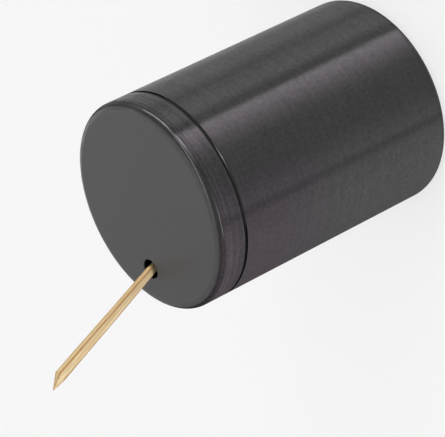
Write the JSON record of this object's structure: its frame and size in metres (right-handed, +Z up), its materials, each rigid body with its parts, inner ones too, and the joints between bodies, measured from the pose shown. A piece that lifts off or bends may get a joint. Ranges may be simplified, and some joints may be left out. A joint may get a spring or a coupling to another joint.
{
  "type": "toothpick dispenser",
  "caption": "Round brushed-metal can with a slip-on lid; toothpicks slide out through a small hole near the edge of the lid.",
  "frame": {"origin": "centre of the can's base ring, in the plane that it stands on", "axes": "+Z up the can's axis, out of the lid's face; the dispensing hole lies towards -Y"},
  "size_m": [0.052, 0.052, 0.1125],
  "materials": {
    "gunmetal_steel": "dark gunmetal coating on steel, fine hairlines round the can and the lid's skirt, satin face",
    "black_plastic": "moulded, satin",
    "black_silicone": "matt",
    "pale_wood": "split and sanded, no varnish"
  },
  "bodies": {
    "can": {"body_shell": "gunmetal_steel", "neck_collar": "black_plastic", "pick_stock": "pale_wood"},
    "ring": {"grip_ring": "black_silicone"},
    "lid": {"lid_shell": "gunmetal_steel"},
    "pick": {"dispensed_pick": "pale_wood"}
  },
  "joints": [
    {"name": "lid_turn", "type": "hinge", "parent": "can", "child": "ring", "pos_m": [0, 0, 0.068], "axis": [0, 0, 1], "continuous": true},
    {"name": "lid_lift", "type": "slide", "parent": "ring", "child": "lid", "axis": [0, 0, 1], "range_m": [0, 0.09]},
    {"name": "pick_slide", "type": "slide", "parent": "lid", "child": "pick", "axis": [0.2862, -0.1653, 0.9438], "range_m": [-0.036, 0.0225]}
  ]
}
